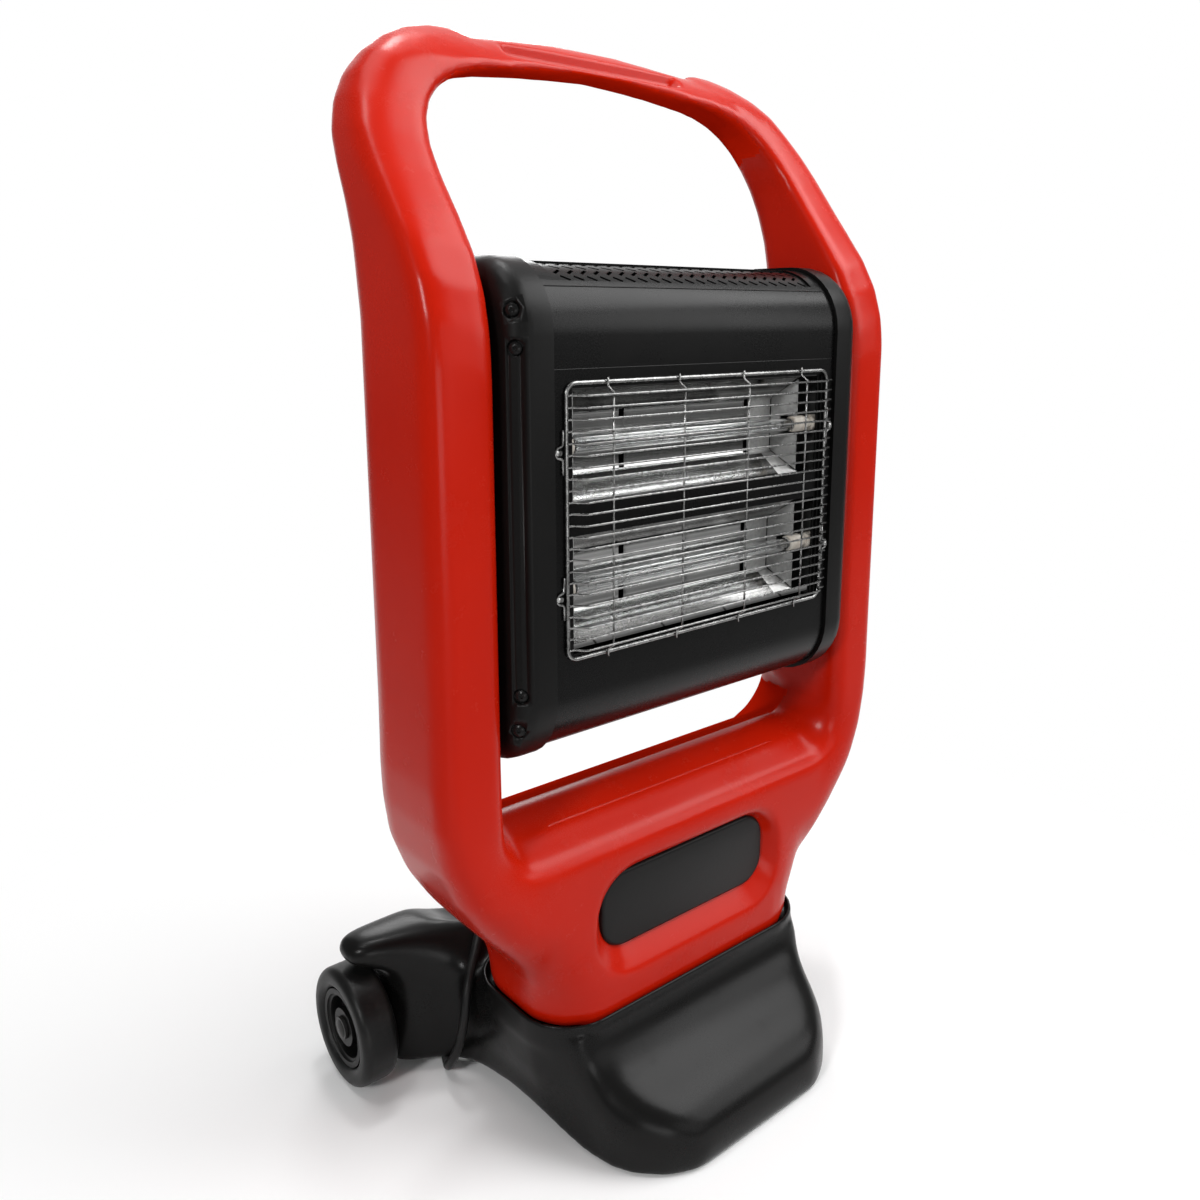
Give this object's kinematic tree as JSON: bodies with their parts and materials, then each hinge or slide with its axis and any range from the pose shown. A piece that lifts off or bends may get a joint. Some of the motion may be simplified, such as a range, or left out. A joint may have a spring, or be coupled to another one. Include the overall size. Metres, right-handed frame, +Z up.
{
  "type": "wheeled halogen infrared heater",
  "caption": "Upright infrared heater: moulded ring frame with grip, tilting guarded lamp head, footed base with rear wheels and mains cord.",
  "frame": {"origin": "centre of the footprint on the floor, cord left out", "axes": "+X to the viewer's right facing the lamps, +Y to the rear, +Z up"},
  "size_m": [0.468, 0.4374, 0.848],
  "materials": {
    "red_shell": "rotationally moulded, satin, fine orange peel",
    "badge_black": "satin moulded plaque, bare",
    "black_shell": "rotationally moulded, satin",
    "steel": "zinc plated",
    "wheel_black": "moulded",
    "tyre_rubber": "moulded rubber",
    "cap_grey": "pressed cap",
    "washer_fibre": "friction washer",
    "black_trim": "moulded",
    "casing_black": "satin black powder coat",
    "cap_black": "satin moulding",
    "screw_black": "black plated",
    "reflector": "polished",
    "quartz": "clear fused quartz",
    "filament": "tungsten coil",
    "ceramic": "unglazed ceramic",
    "bracket": "plated sheet",
    "guard_chrome": "bright plated wire",
    "rocker_red": "moulded",
    "cord_rubber": "rubber sheath",
    "plug_black": "moulded",
    "plug_brass": "machined"
  },
  "bodies": {
    "stand": {"frame_moulding": "red_shell", "badge_plate": "badge_black", "base_moulding": "black_shell", "neck_bolts": "steel", "axle_rod": "steel", "hub_cap_right": "cap_grey", "hub_cap_left": "cap_grey", "pivot_pin_right": "steel", "pivot_pin_left": "steel", "pivot_washer_right": "washer_fibre", "pivot_washer_left": "washer_fibre", "cable_gland": "black_trim", "cord_run": "cord_rubber", "cord_coil": "cord_rubber", "cord_tie": "black_trim", "plug_body": "plug_black", "plug_pins": "plug_brass"},
    "head": {"head_casing": "casing_black", "top_vent": "casing_black", "end_cap_right": "cap_black", "end_cap_left": "cap_black", "cap_screws_right": "screw_black", "cap_screws_left": "screw_black", "lamp_bezel": "casing_black", "reflector_upper": "reflector", "reflector_lower": "reflector", "lamp_upper": "quartz", "lamp_lower": "quartz", "filament_upper": "filament", "filament_lower": "filament", "lamp_ends_upper": "ceramic", "lamp_ends_lower": "ceramic", "lamp_brackets": "bracket", "guard_rim": "guard_chrome", "guard_bars": "guard_chrome", "guard_stays": "guard_chrome", "guard_clips": "guard_chrome", "rear_panel": "casing_black", "panel_screws": "steel", "switch_box": "black_trim"},
    "wheel_right": {"wheel_right": "wheel_black", "tyre_right": "tyre_rubber"},
    "wheel_left": {"wheel_left": "wheel_black", "tyre_left": "tyre_rubber"},
    "rocker_right": {"rocker_right": "rocker_red"},
    "rocker_left": {"rocker_left": "rocker_red"}
  },
  "joints": [
    {"name": "head_tilt", "type": "hinge", "parent": "stand", "child": "head", "pos_m": [0, -0.0285, 0.5025], "axis": [-1, 0, 0], "range_deg": [-15, 30]},
    {"name": "wheel_right_spin", "type": "hinge", "parent": "stand", "child": "wheel_right", "pos_m": [0.218, 0.1085, 0.05], "axis": [1, 0, 0], "continuous": true},
    {"name": "wheel_left_spin", "type": "hinge", "parent": "stand", "child": "wheel_left", "pos_m": [-0.218, 0.1085, 0.05], "axis": [1, 0, 0], "continuous": true},
    {"name": "rocker_right_switch", "type": "hinge", "parent": "head", "child": "rocker_right", "pos_m": [0.02, 0.0477, 0.4325], "axis": [1, 0, 0], "range_deg": [0, 12]},
    {"name": "rocker_left_switch", "type": "hinge", "parent": "head", "child": "rocker_left", "pos_m": [-0.02, 0.0477, 0.4325], "axis": [1, 0, 0], "range_deg": [0, 12]}
  ]
}
